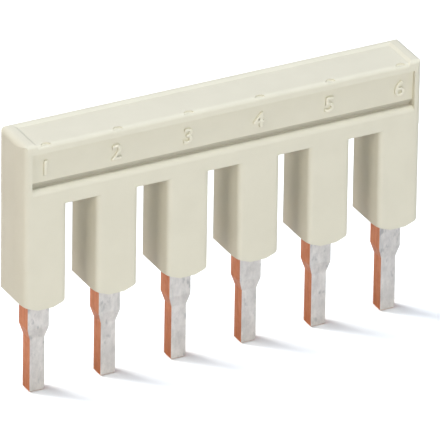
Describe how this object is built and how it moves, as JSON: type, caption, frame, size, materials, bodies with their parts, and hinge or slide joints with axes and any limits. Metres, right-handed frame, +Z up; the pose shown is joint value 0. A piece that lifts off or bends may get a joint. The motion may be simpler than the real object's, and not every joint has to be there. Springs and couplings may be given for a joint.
{
  "type": "terminal block jumper bar",
  "caption": "Insulated comb-style jumper bar: a light grey moulded rail with a leg for each pole and a tinned copper contact prong below each leg.",
  "frame": {"origin": "middle of the row of prongs, at the level of the prong tips", "axes": "+X along the bar, +Y from the marked front to the plain back, +Z up from the prong tips to the top panel"},
  "size_m": [0.0282, 0.0032, 0.0182],
  "materials": {
    "housing_plastic": "light warm-grey moulded plastic, satin",
    "comb_metal": "copper, tinned on the front and back faces and bare on the sheared edges"
  },
  "bodies": {
    "root": {"insulating_housing": "housing_plastic", "contact_comb": "comb_metal"}
  },
  "joints": []
}
